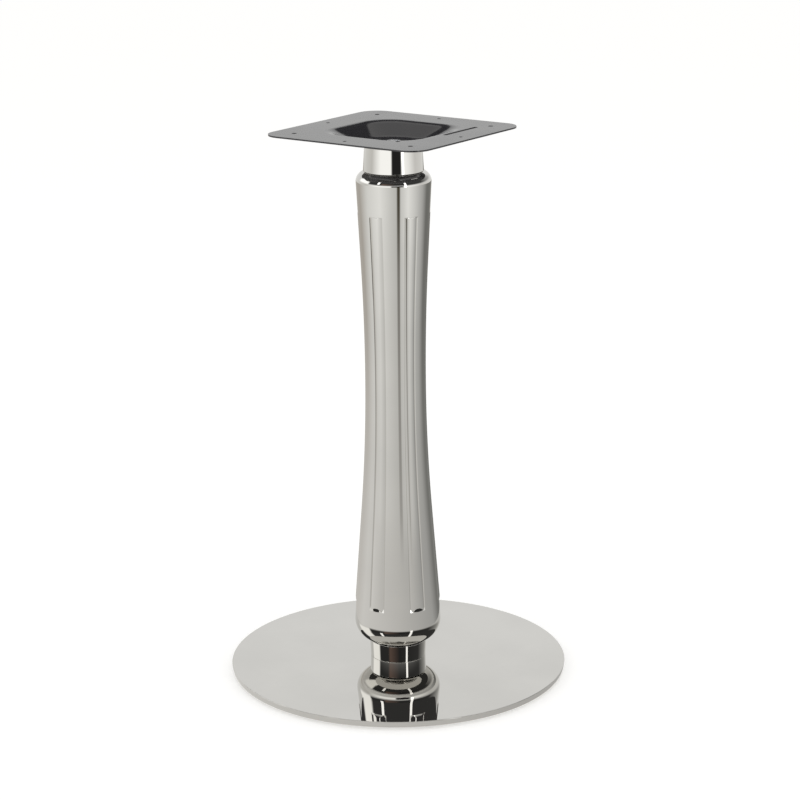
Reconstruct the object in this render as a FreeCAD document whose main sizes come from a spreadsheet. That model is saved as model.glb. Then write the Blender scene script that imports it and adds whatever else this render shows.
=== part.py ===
"""Pedestal table base: floor disc, ribbed hourglass column and pressed square top plate.

Millimetres, +Z up. The origin is on the floor, on the axis of the column.
"""
import FreeCAD, Part
import math
import os

import Sketcher

doc = FreeCAD.newDocument("pedestal_table_base")

# Driving dimensions: alias, value, meaning
DIMENSIONS = [
    ("glide_height", 4.0, "clear height of the disc over the floor"),
    ("glide_radius", 14.0, "radius of a glide's sole"),
    ("glide_edge", 1.0, "rounding of a glide's lower edge"),
    ("glide_sole", 1.5, "plastic under the end of a glide's stud"),
    ("glide_circle", 195.0, "distance of the glides from the axis"),
    ("glide_count", 4, "number of glides"),
    ("stud_radius", 4.0, "radius of a glide's stud"),
    ("stud_reach", 5.5, "length of a stud inside the disc"),
    ("stud_end_gap", 0.5, "free depth over a stud in its blind hole"),
    ("disc_radius", 225.0, "radius of the floor disc"),
    ("disc_thickness", 8.0, "thickness of the floor disc at its edge"),
    ("disc_dome", 5.0, "rise of the disc's upper face from its edge to the neck"),
    ("disc_seat", 40.0, "radius of the flat seat for the neck on the disc"),
    ("disc_top_edge", 1.0, "rounding of the disc's upper edge"),
    ("disc_low_edge", 1.0, "rounding of the disc's lower edge"),
    ("neck_top_radius", 38.0, "outer radius of the lower neck at the column"),
    ("neck_foot_radius", 37.0, "outer radius of the lower neck at the disc"),
    ("neck_height", 23.0, "height of the lower neck"),
    ("ring_wall", 2.5, "wall of the neck and of the collar"),
    ("column_height", 640.0, "height of the column"),
    ("column_wall", 3.0, "wall of the column shell"),
    ("waist_radius", 40.2, "smallest outer radius of the column"),
    ("waist_height", 365.0, "height of the waist over the column's foot"),
    ("lower_flare", 2375.0, "radius of the curve below the waist"),
    ("lower_taper", 4.4, "lean of the straight side below that curve, degrees"),
    ("lower_shoulder", 29.0, "rounding of the column's foot"),
    ("upper_flare", 2950.0, "radius of the curve above the waist"),
    ("upper_taper", 3.0, "lean of the straight side above that curve, degrees"),
    ("upper_shoulder", 14.0, "rounding of the column's head"),
    ("rib_count", 6, "number of ribs"),
    ("rib_angle", 26.0, "width of a rib, degrees round the column"),
    ("rib_height", 1.4, "height of a rib's crown over the column's side"),
    ("rib_sink", 0.15, "depth of a rib's edges below the column's side"),
    ("rib_phase", 5.4, "turn of the first rib from +X, degrees"),
    ("rib_foot", 54.0, "start of the ribs over the column's foot"),
    ("rib_head", 56.0, "end of the ribs below the column's head"),
    ("rib_foot_slope", 9.0, "height of the slope at a rib's lower end"),
    ("rib_head_slope", 3.0, "height of the slope at a rib's upper end"),
    ("collar_foot_radius", 39.2, "outer radius of the collar at the column"),
    ("collar_top_radius", 37.2, "outer radius of the collar at the top plate"),
    ("collar_height", 32.0, "height of the collar"),
    ("spigot_radius", 22.0, "radius of the centring holes in neck, column and collar"),
    ("spigot_gap", 0.2, "clearance of a bush in those holes"),
    ("bush_radius", 27.0, "radius of a bush's flange"),
    ("bush_flange", 4.0, "thickness of a bush's flange"),
    ("plate_half", 121.5, "half the side of the top plate"),
    ("plate_corner", 27.0, "corner radius of the top plate"),
    ("plate_sheet", 2.0, "sheet thickness of the top plate"),
    ("dish_depth", 18.0, "depth of the dish, upper faces"),
    ("dish_half", 68.0, "half the side of the dish at the flange"),
    ("dish_corner", 40.0, "corner radius of the dish at the flange"),
    ("dish_floor_half", 44.0, "half the side of the dish's floor"),
    ("dish_floor_corner", 32.0, "corner radius of the dish's floor"),
    ("dish_bend", 8.0, "inner bend radius of the dish's edges"),
    ("screw_spacing", 180.0, "spacing of the corner screw holes"),
    ("screw_hole", 3.25, "radius of the corner screw holes"),
    ("side_hole_reach", 104.0, "distance of the side screw holes from the axis"),
    ("side_hole", 2.5, "radius of the side screw holes"),
    ("lip_hole_x", 70.0, "place of the single hole beside the dish, to -X"),
    ("lip_hole_y", 57.0, "place of the single hole beside the dish, to -Y"),
    ("lip_hole", 3.0, "radius of the single hole beside the dish"),
    ("slot_middle_x", 37.0, "middle of the slot beside the dish, to +X"),
    ("slot_middle_y", 79.0, "middle of the slot beside the dish, to -Y"),
    ("slot_length", 74.0, "length of the slot"),
    ("slot_width", 8.0, "width of the slot"),
    ("rod_radius", 6.0, "radius of the tie rod and of the base screw"),
    ("rod_hole_gap", 0.5, "clearance round the rod in plates and bushes"),
    ("thread_gap", 0.05, "clearance of the nuts on their threads"),
    ("rod_end_below", 12.5, "end of the rod below the table's underside"),
    ("rod_chamfer", 1.0, "chamfer on the ends of rod and screw"),
    ("nut_flats", 18.0, "width across flats of both nuts"),
    ("nut_bevel", 30.0, "slope of the bevelled corners of the nuts, degrees"),
    ("nut_height", 4.0, "height of the flat top nut"),
    ("washer_radius", 18.5, "radius of the top washer"),
    ("washer_thickness", 1.5, "thickness of the top washer"),
    ("coupling_length", 18.0, "length of the coupling nut"),
    ("screw_head_radius", 12.0, "head radius of the base screw"),
    ("screw_head_height", 6.0, "head height of the base screw"),
    ("socket_flats", 8.0, "width across flats of the base screw's socket"),
    ("socket_depth", 4.0, "depth of that socket"),
]

sheet = doc.addObject("Spreadsheet::Sheet", "sheet")
for row, (alias, number, meaning) in enumerate(DIMENSIONS, start=1):
    sheet.set(f"A{row}", meaning)
    sheet.set(f"B{row}", str(number))
    sheet.setAlias(f"B{row}", alias)
doc.recompute()


def value(expression):
    """Present value of an expression on the sheet."""
    return float(sheet.evalExpression(expression))


def size(alias):
    """The sheet's cell as it is written in an expression."""
    return f"sheet.{alias}"


# Heights of the stack, each as an expression over the one below it
DISC_LOW = size("glide_height")
DISC_EDGE = f"({DISC_LOW} + {size('disc_thickness')})"
DISC_TOP = f"({DISC_EDGE} + {size('disc_dome')})"
COLUMN_LOW = f"({DISC_TOP} + {size('neck_height')})"
COLUMN_TOP = f"({COLUMN_LOW} + {size('column_height')})"
COLLAR_TOP = f"({COLUMN_TOP} + {size('collar_height')})"
DISH_FLOOR = f"({COLLAR_TOP} + {size('plate_sheet')})"
PLATE_TOP = f"({DISH_FLOOR} + {size('dish_depth')})"
PLATE_LOW = f"({PLATE_TOP} - {size('plate_sheet')})"
WAIST = f"({COLUMN_LOW} + {size('waist_height')})"
ROD_HOLE = f"({size('rod_radius')} + {size('rod_hole_gap')})"
THREAD_HOLE = f"({size('rod_radius')} + {size('thread_gap')})"


def new_body(label):
    body = doc.addObject("PartDesign::Body", label)
    body.Label = label
    return body


def origin_feature(body, role):
    return next(f for f in body.Origin.OriginFeatures if f.Role == role)


def new_sketch(body, name, plane, height="0"):
    """Sketch on one of the body's own planes; a level one may be raised to a height."""
    sketch = body.newObject("Sketcher::SketchObject", name)
    sketch.AttachmentSupport = (origin_feature(body, plane), [""])
    sketch.MapMode = "FlatFace"
    if height != "0":
        sketch.setExpression("AttachmentOffset.Base.z", height)
    return sketch


def pin_point(sketch, geometry, end, across, along):
    """Holds one end of a line or arc at a place given by two expressions."""
    for kind, axis, place in (("DistanceX", -2, across), ("DistanceY", -1, along)):
        if place == "0":
            sketch.addConstraint(Sketcher.Constraint("PointOnObject", geometry, end, axis))
            continue
        constraint = Sketcher.Constraint(kind, -1, 1, geometry, end, value(place))
        index = sketch.addConstraint(constraint)
        sketch.setExpression(f"Constraints[{index}]", place)


def arc_through(start, finish, radius, turn):
    """Short arc between two points; turn is +1 to bend left on the way, -1 to bend right."""
    chord = finish - start
    middle = (start + finish) * 0.5
    side = FreeCAD.Vector(-chord.y, chord.x, 0) * (turn / chord.Length)
    centre = middle + side * math.sqrt(max(radius ** 2 - (chord.Length / 2) ** 2, 0.0))
    circle = Part.Circle(centre, FreeCAD.Vector(0, 0, 1), radius)
    first, last = (start, finish) if turn > 0 else (finish, start)
    angles = [math.atan2(p.y - centre.y, p.x - centre.x) for p in (first, last)]
    return Part.ArcOfCircle(circle, *angles)


def outline(sketch, corners):
    """Closed outline through corners (across, along) or (across, along, radius, turn).

    A corner with a radius is reached by an arc that bends left (+1) or right (-1);
    every other corner is reached by a straight line.
    """
    points = [FreeCAD.Vector(value(c[0]), value(c[1]), 0) for c in corners]
    ends = []
    for index, corner in enumerate(corners):
        start = points[index - 1]
        finish = points[index]
        if len(corner) == 2:
            geometry = sketch.addGeometry(Part.LineSegment(start, finish), False)
            ends.append((geometry, 1, 2))
            continue
        radius, turn = corner[2:]
        arc = arc_through(start, finish, value(radius), turn)
        geometry = sketch.addGeometry(arc, False)
        ends.append((geometry, 1, 2) if turn > 0 else (geometry, 2, 1))
    for index, (geometry, begin, end) in enumerate(ends):
        following, following_begin, _ = ends[(index + 1) % len(ends)]
        joint = Sketcher.Constraint("Coincident", geometry, end, following, following_begin)
        sketch.addConstraint(joint)
        pin_point(sketch, geometry, end, *corners[index][:2])
    for (geometry, _, _), corner in zip(ends, corners):
        if len(corner) > 2:
            constraint = Sketcher.Constraint("Radius", geometry, value(corner[2]))
            index = sketch.addConstraint(constraint)
            sketch.setExpression(f"Constraints[{index}]", corner[2])


def circle(sketch, radius, across="0", along="0"):
    centre = FreeCAD.Vector(value(across), value(along), 0)
    shape = Part.Circle(centre, FreeCAD.Vector(0, 0, 1), value(radius))
    geometry = sketch.addGeometry(shape, False)
    pin_point(sketch, geometry, 3, across, along)
    index = sketch.addConstraint(Sketcher.Constraint("Radius", geometry, value(radius)))
    sketch.setExpression(f"Constraints[{index}]", radius)


def rounded_square(sketch, half, corner):
    """Square about the axis with rounded corners, drawn anticlockwise."""
    flat = f"({half} - {corner})"
    corners = []
    for along_x, along_y in ((1, 1), (-1, 1), (-1, -1), (1, -1)):
        side = (f"{along_x} * {half}", f"{along_y} * {flat}")
        end = (f"{along_x} * {flat}", f"{along_y} * {half}")
        first, second = (side, end) if along_x == along_y else (end, side)
        corners += [first, (*second, corner, 1)]
    outline(sketch, corners)


def turned(body, corners, name="profile"):
    """Solid of revolution about the column's axis, from an outline of radii and heights."""
    sketch = new_sketch(body, name, "XZ_Plane")
    outline(sketch, corners)
    feature = body.newObject("PartDesign::Revolution", f"{name}_turned")
    feature.Profile = sketch
    feature.ReferenceAxis = (sketch, ["V_Axis"])
    feature.Angle = 360
    doc.recompute()
    return feature


def pocket(body, sketch, depth=None, upwards=False):
    """Cut from a level sketch: right through downwards, or to a depth upwards."""
    before = body.Shape.Volume
    feature = body.newObject("PartDesign::Pocket", f"{sketch.Name}_cut")
    feature.Profile = sketch
    feature.Reversed = upwards
    if depth is None:
        feature.Type = "ThroughAll"
    else:
        feature.Type = "Length"
        feature.setExpression("Length", depth)
    doc.recompute()
    if body.Shape.Volume >= before:
        raise RuntimeError(f"{feature.Name} cuts nothing")
    return feature


def round_pattern(body, originals, count):
    """Repeats features evenly about the column's axis."""
    feature = body.newObject("PartDesign::PolarPattern", f"{originals[0].Name}_round")
    feature.Originals = originals
    feature.Axis = (origin_feature(body, "Z_Axis"), [""])
    feature.Angle = 360
    feature.setExpression("Occurrences", count)
    body.Tip = feature
    doc.recompute()
    return feature


LEVEL_TOLERANCE = 0.001


def edges_at_height(shape, height, reach=None):
    """Names of the edges that lie level at a height, within a reach of the axis if given."""
    names = []
    for index, edge in enumerate(shape.Edges, start=1):
        box = edge.BoundBox
        level = abs(box.ZMin - height) < LEVEL_TOLERANCE and abs(box.ZMax - height) < LEVEL_TOLERANCE
        inside = reach is None or max(-box.XMin, box.XMax, -box.YMin, box.YMax) < reach
        if level and inside:
            names.append(f"Edge{index}")
    return names


# The countersink ends where the screw's cone meets the clearance hole
SCREW_CONE = (f"{size('screw_head_height')} * ({size('screw_head_radius')} - {ROD_HOLE})"
              f" / ({size('screw_head_radius')} - {size('rod_radius')})")
# The glides stand on the disc's diagonals
GLIDE_ACROSS = f"({size('glide_circle')} * sqrt(0.5))"


def make_base_disc():
    """Shallow dome with a rounded edge, a flat seat for the neck and blind holes for the glides."""
    body = new_body("base_disc")
    radius = size("disc_radius")
    seat = size("disc_seat")
    rise = size("disc_dome")
    low_edge = size("disc_low_edge")
    # The dome's arc has its centre on the axis, this far below the seat
    drop = f"(({radius} * {radius} - {seat} * {seat} + {rise} * {rise}) / (2 * {rise}))"
    dome = f"sqrt({drop} * {drop} + {seat} * {seat})"
    disc = turned(body, [
        (ROD_HOLE, DISC_TOP),
        (ROD_HOLE, f"{DISC_LOW} + {SCREW_CONE}"),
        (size("screw_head_radius"), DISC_LOW),
        (f"{radius} - {low_edge}", DISC_LOW),
        (radius, f"{DISC_LOW} + {low_edge}", low_edge, 1),
        (radius, DISC_EDGE),
        (seat, DISC_TOP, dome, 1),
    ])
    rim = body.newObject("PartDesign::Fillet", "disc_edge")
    rim.Base = (disc, edges_at_height(disc.Shape, value(DISC_EDGE)))
    rim.setExpression("Radius", size("disc_top_edge"))
    doc.recompute()
    holes = new_sketch(body, "stud_holes", "XY_Plane", DISC_LOW)
    circle(holes, size("stud_radius"), GLIDE_ACROSS, GLIDE_ACROSS)
    depth = f"{size('stud_reach')} + {size('stud_end_gap')}"
    cut = pocket(body, holes, depth, upwards=True)
    round_pattern(body, [cut], size("glide_count"))
    return body


def make_glides():
    """Four plastic soles with a blind socket, and the plain studs in them."""
    feet = new_body("glide_feet")
    stud = size("stud_radius")
    sole = new_sketch(feet, "sole", "XY_Plane")
    circle(sole, size("glide_radius"), GLIDE_ACROSS, GLIDE_ACROSS)
    pad = feet.newObject("PartDesign::Pad", "sole_pad")
    pad.Profile = sole
    pad.setExpression("Length", DISC_LOW)
    doc.recompute()
    rim = feet.newObject("PartDesign::Fillet", "sole_edge")
    rim.Base = (pad, edges_at_height(pad.Shape, 0.0))
    rim.setExpression("Radius", size("glide_edge"))
    socket = new_sketch(feet, "socket", "XY_Plane", size("glide_sole"))
    circle(socket, stud, GLIDE_ACROSS, GLIDE_ACROSS)
    doc.recompute()
    cut = pocket(feet, socket, f"{DISC_LOW} - {size('glide_sole')}", upwards=True)
    round_pattern(feet, [pad, rim, cut], size("glide_count"))

    studs = new_body("glide_studs")
    shank = new_sketch(studs, "shank", "XY_Plane", size("glide_sole"))
    circle(shank, stud, GLIDE_ACROSS, GLIDE_ACROSS)
    pin = studs.newObject("PartDesign::Pad", "shank_pad")
    pin.Profile = shank
    pin.setExpression("Length", f"{DISC_LOW} - {size('glide_sole')} + {size('stud_reach')}")
    doc.recompute()
    round_pattern(studs, [pin], size("glide_count"))
    return [feet, studs]


def make_ring(label, low, high, low_radius, high_radius, floor_low):
    """Tapered ring with an inward flange at its upper or lower end, for a centring bush."""
    body = new_body(label)
    wall = size("ring_wall")
    hole = size("spigot_radius")
    if floor_low:
        inside = [
            (f"{high_radius} - {wall}", high),
            (f"{low_radius} - {wall}", f"{low} + {wall}"),
            (hole, f"{low} + {wall}"),
            (hole, low),
        ]
    else:
        inside = [
            (hole, high),
            (hole, f"{high} - {wall}"),
            (f"{high_radius} - {wall}", f"{high} - {wall}"),
            (f"{low_radius} - {wall}", low),
        ]
    turned(body, [(low_radius, low), (high_radius, high)] + inside)
    return body


def make_bush(label, seat):
    """Stepped bush: its flange rests on a seat, its spigot reaches down through two flanges."""
    body = new_body(label)
    spigot = f"({size('spigot_radius')} - {size('spigot_gap')})"
    reach = f"({size('ring_wall')} + {size('column_wall')})"
    top = f"{seat} + {size('bush_flange')}"
    turned(body, [
        (ROD_HOLE, f"{seat} - {reach}"),
        (spigot, f"{seat} - {reach}"),
        (spigot, seat),
        (size("bush_radius"), seat),
        (size("bush_radius"), top),
        (ROD_HOLE, top),
    ])
    return body


# The column's side: two long arcs that meet at the waist, a straight taper beyond each of
# them, and a rounded shoulder at each end. Radii and heights at the joints of these runs:
LOWER_LEAN = size("lower_taper")
UPPER_LEAN = size("upper_taper")
LOWER_BEND_RADIUS = f"({size('waist_radius')} + {size('lower_flare')} * (1 - cos({LOWER_LEAN})))"
LOWER_BEND_HEIGHT = f"({WAIST} - {size('lower_flare')} * sin({LOWER_LEAN}))"
UPPER_BEND_RADIUS = f"({size('waist_radius')} + {size('upper_flare')} * (1 - cos({UPPER_LEAN})))"
UPPER_BEND_HEIGHT = f"({WAIST} + {size('upper_flare')} * sin({UPPER_LEAN}))"


def side_radius(height):
    """Expression of the column's outer radius at a height that is an expression too."""
    level = value(height)
    if level <= value(LOWER_BEND_HEIGHT):
        return f"({LOWER_BEND_RADIUS} + ({LOWER_BEND_HEIGHT} - {height}) * tan({LOWER_LEAN}))"
    if level >= value(UPPER_BEND_HEIGHT):
        return f"({UPPER_BEND_RADIUS} + ({height} - {UPPER_BEND_HEIGHT}) * tan({UPPER_LEAN}))"
    flare = size("lower_flare" if level < value(WAIST) else "upper_flare")
    rise = f"({height} - {WAIST})"
    return f"({size('waist_radius')} + {flare} - sqrt({flare} * {flare} - {rise} * {rise}))"


def column_outline(inset, bore):
    """Outline of the column's side, moved inwards by an inset, down to a bore radius."""
    foot = f"({COLUMN_LOW} + {inset})"
    head = f"({COLUMN_TOP} - {inset})"
    low_round = f"({size('lower_shoulder')} - {inset})"
    high_round = f"({size('upper_shoulder')} - {inset})"
    low_flare = f"({size('lower_flare')} + {inset})"
    high_flare = f"({size('upper_flare')} + {inset})"
    waist = f"({size('waist_radius')} - {inset})"
    # Centre of each shoulder, at its rounding from the leaning side and from the end face
    low_height = f"({COLUMN_LOW} + {size('lower_shoulder')})"
    low_centre = (f"({LOWER_BEND_RADIUS} - ({size('lower_shoulder')}"
                  f" + ({low_height} - {LOWER_BEND_HEIGHT}) * sin({LOWER_LEAN}))"
                  f" / cos({LOWER_LEAN}))")
    high_height = f"({COLUMN_TOP} - {size('upper_shoulder')})"
    high_centre = (f"({UPPER_BEND_RADIUS} - ({size('upper_shoulder')}"
                   f" - ({high_height} - {UPPER_BEND_HEIGHT}) * sin({UPPER_LEAN}))"
                   f" / cos({UPPER_LEAN}))")
    return [
        (bore, foot),
        (low_centre, foot),
        (f"{low_centre} + {low_round} * cos({LOWER_LEAN})",
         f"{low_height} + {low_round} * sin({LOWER_LEAN})", low_round, 1),
        (f"{LOWER_BEND_RADIUS} - {inset} * cos({LOWER_LEAN})",
         f"{LOWER_BEND_HEIGHT} - {inset} * sin({LOWER_LEAN})"),
        (waist, WAIST, low_flare, -1),
        (f"{UPPER_BEND_RADIUS} - {inset} * cos({UPPER_LEAN})",
         f"{UPPER_BEND_HEIGHT} + {inset} * sin({UPPER_LEAN})", high_flare, -1),
        (f"{high_centre} + {high_round} * cos({UPPER_LEAN})",
         f"{high_height} - {high_round} * sin({UPPER_LEAN})"),
        (high_centre, head, high_round, 1),
        (bore, head),
    ]


def rib_section(body, name, height, crown, drop="0"):
    """Section of a rib: a bowed outside, between edges and a root inside the column's wall."""
    radius = side_radius(height)
    half = f"({size('rib_angle')} / 2)"
    edge = f"({radius} - {size('rib_sink')} - {drop})"
    root = f"({radius} - {size('column_wall')} / 2)"
    width = f"({edge} * sin({half}))"
    rise = f"({radius} + {crown} - {edge} * cos({half}))"
    bow = f"(({width} * {width} + {rise} * {rise}) / (2 * {rise}))"
    corners = []
    for reach, side, bend in ((edge, -1, ()), (edge, 1, (bow, 1)), (root, 1, ()), (root, -1, (root, -1))):
        turn = f"({size('rib_phase')} + {side} * {half})"
        corners.append((f"{reach} * cos({turn})", f"{reach} * sin({turn})", *bend))
    sketch = new_sketch(body, name, "XY_Plane", height)
    outline(sketch, corners)
    return sketch


def loft_on(body, name, sections):
    before = body.Shape.Volume
    feature = body.newObject("PartDesign::AdditiveLoft", name)
    feature.Profile = sections[0]
    feature.Sections = sections[1:]
    doc.recompute()
    if body.Shape.Volume <= before:
        raise RuntimeError(f"{name} adds nothing")
    return feature


# A rib's end slope runs on into the column's side by this share of its height
SLOPE_OVERRUN = 0.25
# Sections of a rib between two joints of the column's side
SECTIONS_PER_ARC = 3


def raise_ribs(body):
    """Six rounded ribs that follow the column's side, each with a slope at both ends."""
    crown = size("rib_height")
    foot = f"({COLUMN_LOW} + {size('rib_foot')})"
    head = f"({COLUMN_TOP} - {size('rib_head')})"
    low = f"({foot} + {size('rib_foot_slope')})"
    high = f"({head} - {size('rib_head_slope')})"
    levels = []
    stops = [LOWER_BEND_HEIGHT, WAIST, UPPER_BEND_HEIGHT]
    for start, finish in zip(stops, stops[1:]):
        for step in range(SECTIONS_PER_ARC):
            levels.append(f"({start} + ({finish} - {start}) * {step} / {SECTIONS_PER_ARC})")
    levels.append(UPPER_BEND_HEIGHT)
    between = [level for level in levels if value(low) < value(level) < value(high)]
    heights = [low] + between + [high]
    sections = []
    for number, height in enumerate(heights, start=1):
        sections.append(rib_section(body, f"rib_{number}", height, crown))
    doc.recompute()
    run = loft_on(body, "rib_run", sections)

    sunk = f"(-{SLOPE_OVERRUN} * {crown})"
    drop = f"({SLOPE_OVERRUN} * {crown})"
    slopes = []
    for name, inner, outer in (
            ("foot", low, f"({foot} - {SLOPE_OVERRUN} * {size('rib_foot_slope')})"),
            ("head", high, f"({head} + {SLOPE_OVERRUN} * {size('rib_head_slope')})")):
        pair = [rib_section(body, f"{name}_full", inner, crown),
                rib_section(body, f"{name}_sunk", outer, sunk, drop)]
        doc.recompute()
        slopes.append(loft_on(body, f"rib_{name}_slope", pair))
    round_pattern(body, [run] + slopes, size("rib_count"))


def make_column():
    """Thin shell with a plain bore: the ribbed outside less a core at the wall's depth."""
    outside = new_body("column_outside")
    turned(outside, column_outline("0", size("spigot_radius")))
    raise_ribs(outside)
    core = new_body("column_core")
    turned(core, column_outline(size("column_wall"), "0"))
    shell = doc.addObject("Part::Cut", "column")
    shell.Label = "column"
    shell.Base = outside
    shell.Tool = core
    doc.recompute()
    return shell


PLATE_SIDES = 4


def level_loft(body, kind, name, sections):
    """Loft between rounded squares, each given as height, half side and corner radius."""
    sketches = []
    for number, (height, half, corner) in enumerate(sections, start=1):
        sketch = new_sketch(body, f"{name}_{number}", "XY_Plane", height)
        rounded_square(sketch, half, corner)
        sketches.append(sketch)
    doc.recompute()
    feature = body.newObject(f"PartDesign::{kind}", name)
    feature.Profile = sketches[0]
    feature.Sections = sketches[1:]
    doc.recompute()
    return feature


def make_top_plate():
    """Square sheet with a pressed square dish, its bends rounded, and its screw holes."""
    body = new_body("top_plate")
    sheet_wall = size("plate_sheet")
    flange = new_sketch(body, "flange", "XY_Plane", PLATE_LOW)
    rounded_square(flange, size("plate_half"), size("plate_corner"))
    pad = body.newObject("PartDesign::Pad", "flange_pad")
    pad.Profile = flange
    pad.setExpression("Length", sheet_wall)
    doc.recompute()

    run = f"({size('dish_half')} - {size('dish_floor_half')})"
    mitre = f"({sheet_wall} * tan(atan({size('dish_depth')} / {run}) / 2))"
    top = (size("dish_half"), size("dish_corner"))
    floor = (size("dish_floor_half"), size("dish_floor_corner"))
    grown_top = tuple(f"({measure} + {mitre})" for measure in top)
    grown_floor = tuple(f"({measure} + {mitre})" for measure in floor)
    level_loft(body, "AdditiveLoft", "dish_outside",
               [(PLATE_LOW, *grown_top), (COLLAR_TOP, *grown_floor)])
    dish = level_loft(body, "SubtractiveLoft", "dish_inside",
                      [(PLATE_TOP, *top), (DISH_FLOOR, *floor)])

    reach = value(size("plate_half")) - value(size("plate_corner"))
    tight = edges_at_height(dish.Shape, value(DISH_FLOOR), reach)
    tight += edges_at_height(dish.Shape, value(PLATE_LOW), reach)
    inner_bends = body.newObject("PartDesign::Fillet", "inner_bends")
    inner_bends.Base = (dish, tight)
    inner_bends.setExpression("Radius", size("dish_bend"))
    doc.recompute()
    wide = edges_at_height(inner_bends.Shape, value(PLATE_TOP), reach)
    wide += edges_at_height(inner_bends.Shape, value(COLLAR_TOP), reach)
    outer_bends = body.newObject("PartDesign::Fillet", "outer_bends")
    outer_bends.Base = (inner_bends, wide)
    outer_bends.setExpression("Radius", f"{size('dish_bend')} + {sheet_wall}")
    doc.recompute()

    single = new_sketch(body, "single_holes", "XY_Plane", PLATE_TOP)
    circle(single, ROD_HOLE)
    circle(single, size("lip_hole"), f"-1 * {size('lip_hole_x')}", f"-1 * {size('lip_hole_y')}")
    slot_end = f"({size('slot_width')} / 2)"
    slot_run = f"({size('slot_length')} / 2 - {slot_end})"
    right = f"{size('slot_middle_x')} + {slot_run}"
    left = f"{size('slot_middle_x')} - {slot_run}"
    near = f"-1 * {size('slot_middle_y')} - {slot_end}"
    far = f"-1 * {size('slot_middle_y')} + {slot_end}"
    middle = f"-1 * {size('slot_middle_y')}"
    tip_right = f"{size('slot_middle_x')} + {size('slot_length')} / 2"
    tip_left = f"{size('slot_middle_x')} - {size('slot_length')} / 2"
    outline(single, [
        (right, near),
        (tip_right, middle, slot_end, 1),
        (right, far, slot_end, 1),
        (left, far),
        (tip_left, middle, slot_end, 1),
        (left, near, slot_end, 1),
    ])
    doc.recompute()
    pocket(body, single)
    repeated = new_sketch(body, "screw_holes", "XY_Plane", PLATE_TOP)
    half_spacing = f"{size('screw_spacing')} / 2"
    circle(repeated, size("screw_hole"), half_spacing, half_spacing)
    circle(repeated, size("side_hole"), size("side_hole_reach"))
    doc.recompute()
    cut = pocket(body, repeated)
    round_pattern(body, [cut], str(PLATE_SIDES))
    return body


HEX_SIDES = 6


def hexagon(name, flats, low, height):
    """Six-sided prism of a width across flats, standing on the axis at a height."""
    prism = doc.addObject("Part::Prism", name)
    prism.Polygon = HEX_SIDES
    prism.setExpression("Circumradius", f"{flats} / 2 / cos(180 / {HEX_SIDES})")
    prism.setExpression("Height", height)
    prism.setExpression("Placement.Base.z", low)
    return prism


def make_nut(label, low, height):
    """Hexagon nut: a bored, chamfered blank of revolution that keeps only its six flats."""
    blank = new_body(f"{label}_blank")
    corner = f"({size('nut_flats')} / 2 / cos(180 / {HEX_SIDES}))"
    bevel = f"(({corner} - {size('nut_flats')} / 2) * tan({size('nut_bevel')}))"
    high = f"({low} + {height})"
    turned(blank, [
        (THREAD_HOLE, low),
        (f"{size('nut_flats')} / 2", low),
        (corner, f"{low} + {bevel}"),
        (corner, f"{high} - {bevel}"),
        (f"{size('nut_flats')} / 2", high),
        (THREAD_HOLE, high),
    ])
    flats = hexagon(f"{label}_flats", size("nut_flats"), low, height)
    nut = doc.addObject("Part::Common", label)
    nut.Label = label
    nut.Base = blank
    nut.Tool = flats
    doc.recompute()
    return nut


def make_washer():
    body = new_body("top_washer")
    top = f"({DISH_FLOOR} + {size('washer_thickness')})"
    turned(body, [
        (ROD_HOLE, DISH_FLOOR),
        (size("washer_radius"), DISH_FLOOR),
        (size("washer_radius"), top),
        (ROD_HOLE, top),
    ])
    return body


# The coupling nut takes the base screw in its lower half and the rod in its upper half
COUPLING_MIDDLE = f"({DISC_TOP} + {size('coupling_length')} / 2)"
ROD_END = f"({PLATE_TOP} - {size('rod_end_below')})"


def make_tie_rod():
    body = new_body("tie_rod")
    radius = size("rod_radius")
    chamfer = size("rod_chamfer")
    turned(body, [
        ("0", COUPLING_MIDDLE),
        (f"{radius} - {chamfer}", COUPLING_MIDDLE),
        (radius, f"{COUPLING_MIDDLE} + {chamfer}"),
        (radius, f"{ROD_END} - {chamfer}"),
        (f"{radius} - {chamfer}", ROD_END),
        ("0", ROD_END),
    ])
    return body


def make_base_screw():
    """Countersunk screw with a hexagon socket, flush with the disc's underside."""
    blank = new_body("base_screw_blank")
    radius = size("rod_radius")
    chamfer = size("rod_chamfer")
    turned(blank, [
        ("0", DISC_LOW),
        (size("screw_head_radius"), DISC_LOW),
        (radius, f"{DISC_LOW} + {size('screw_head_height')}"),
        (radius, f"{COUPLING_MIDDLE} - {chamfer}"),
        (f"{radius} - {chamfer}", COUPLING_MIDDLE),
        ("0", COUPLING_MIDDLE),
    ])
    socket = hexagon("base_screw_socket", size("socket_flats"), DISC_LOW, size("socket_depth"))
    screw = doc.addObject("Part::Cut", "base_screw")
    screw.Label = "base_screw"
    screw.Base = blank
    screw.Tool = socket
    doc.recompute()
    return screw


def make_parts():
    """Every piece of the base, from the floor up."""
    parts = make_glides()
    parts.append(make_base_disc())
    parts.append(make_base_screw())
    parts.append(make_nut("coupling_nut", DISC_TOP, size("coupling_length")))
    parts.append(make_ring("lower_neck", DISC_TOP, COLUMN_LOW, size("neck_foot_radius"),
                           size("neck_top_radius"), floor_low=False))
    parts.append(make_bush("lower_bush", f"({COLUMN_LOW} + {size('column_wall')})"))
    parts.append(make_column())
    parts.append(make_bush("upper_bush", f"({COLUMN_TOP} + {size('ring_wall')})"))
    parts.append(make_ring("upper_collar", COLUMN_TOP, COLLAR_TOP, size("collar_foot_radius"),
                           size("collar_top_radius"), floor_low=True))
    parts.append(make_top_plate())
    parts.append(make_washer())
    nut_seat = f"({DISH_FLOOR} + {size('washer_thickness')})"
    parts.append(make_nut("top_nut", nut_seat, size("nut_height")))
    parts.append(make_tie_rod())
    return parts


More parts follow.
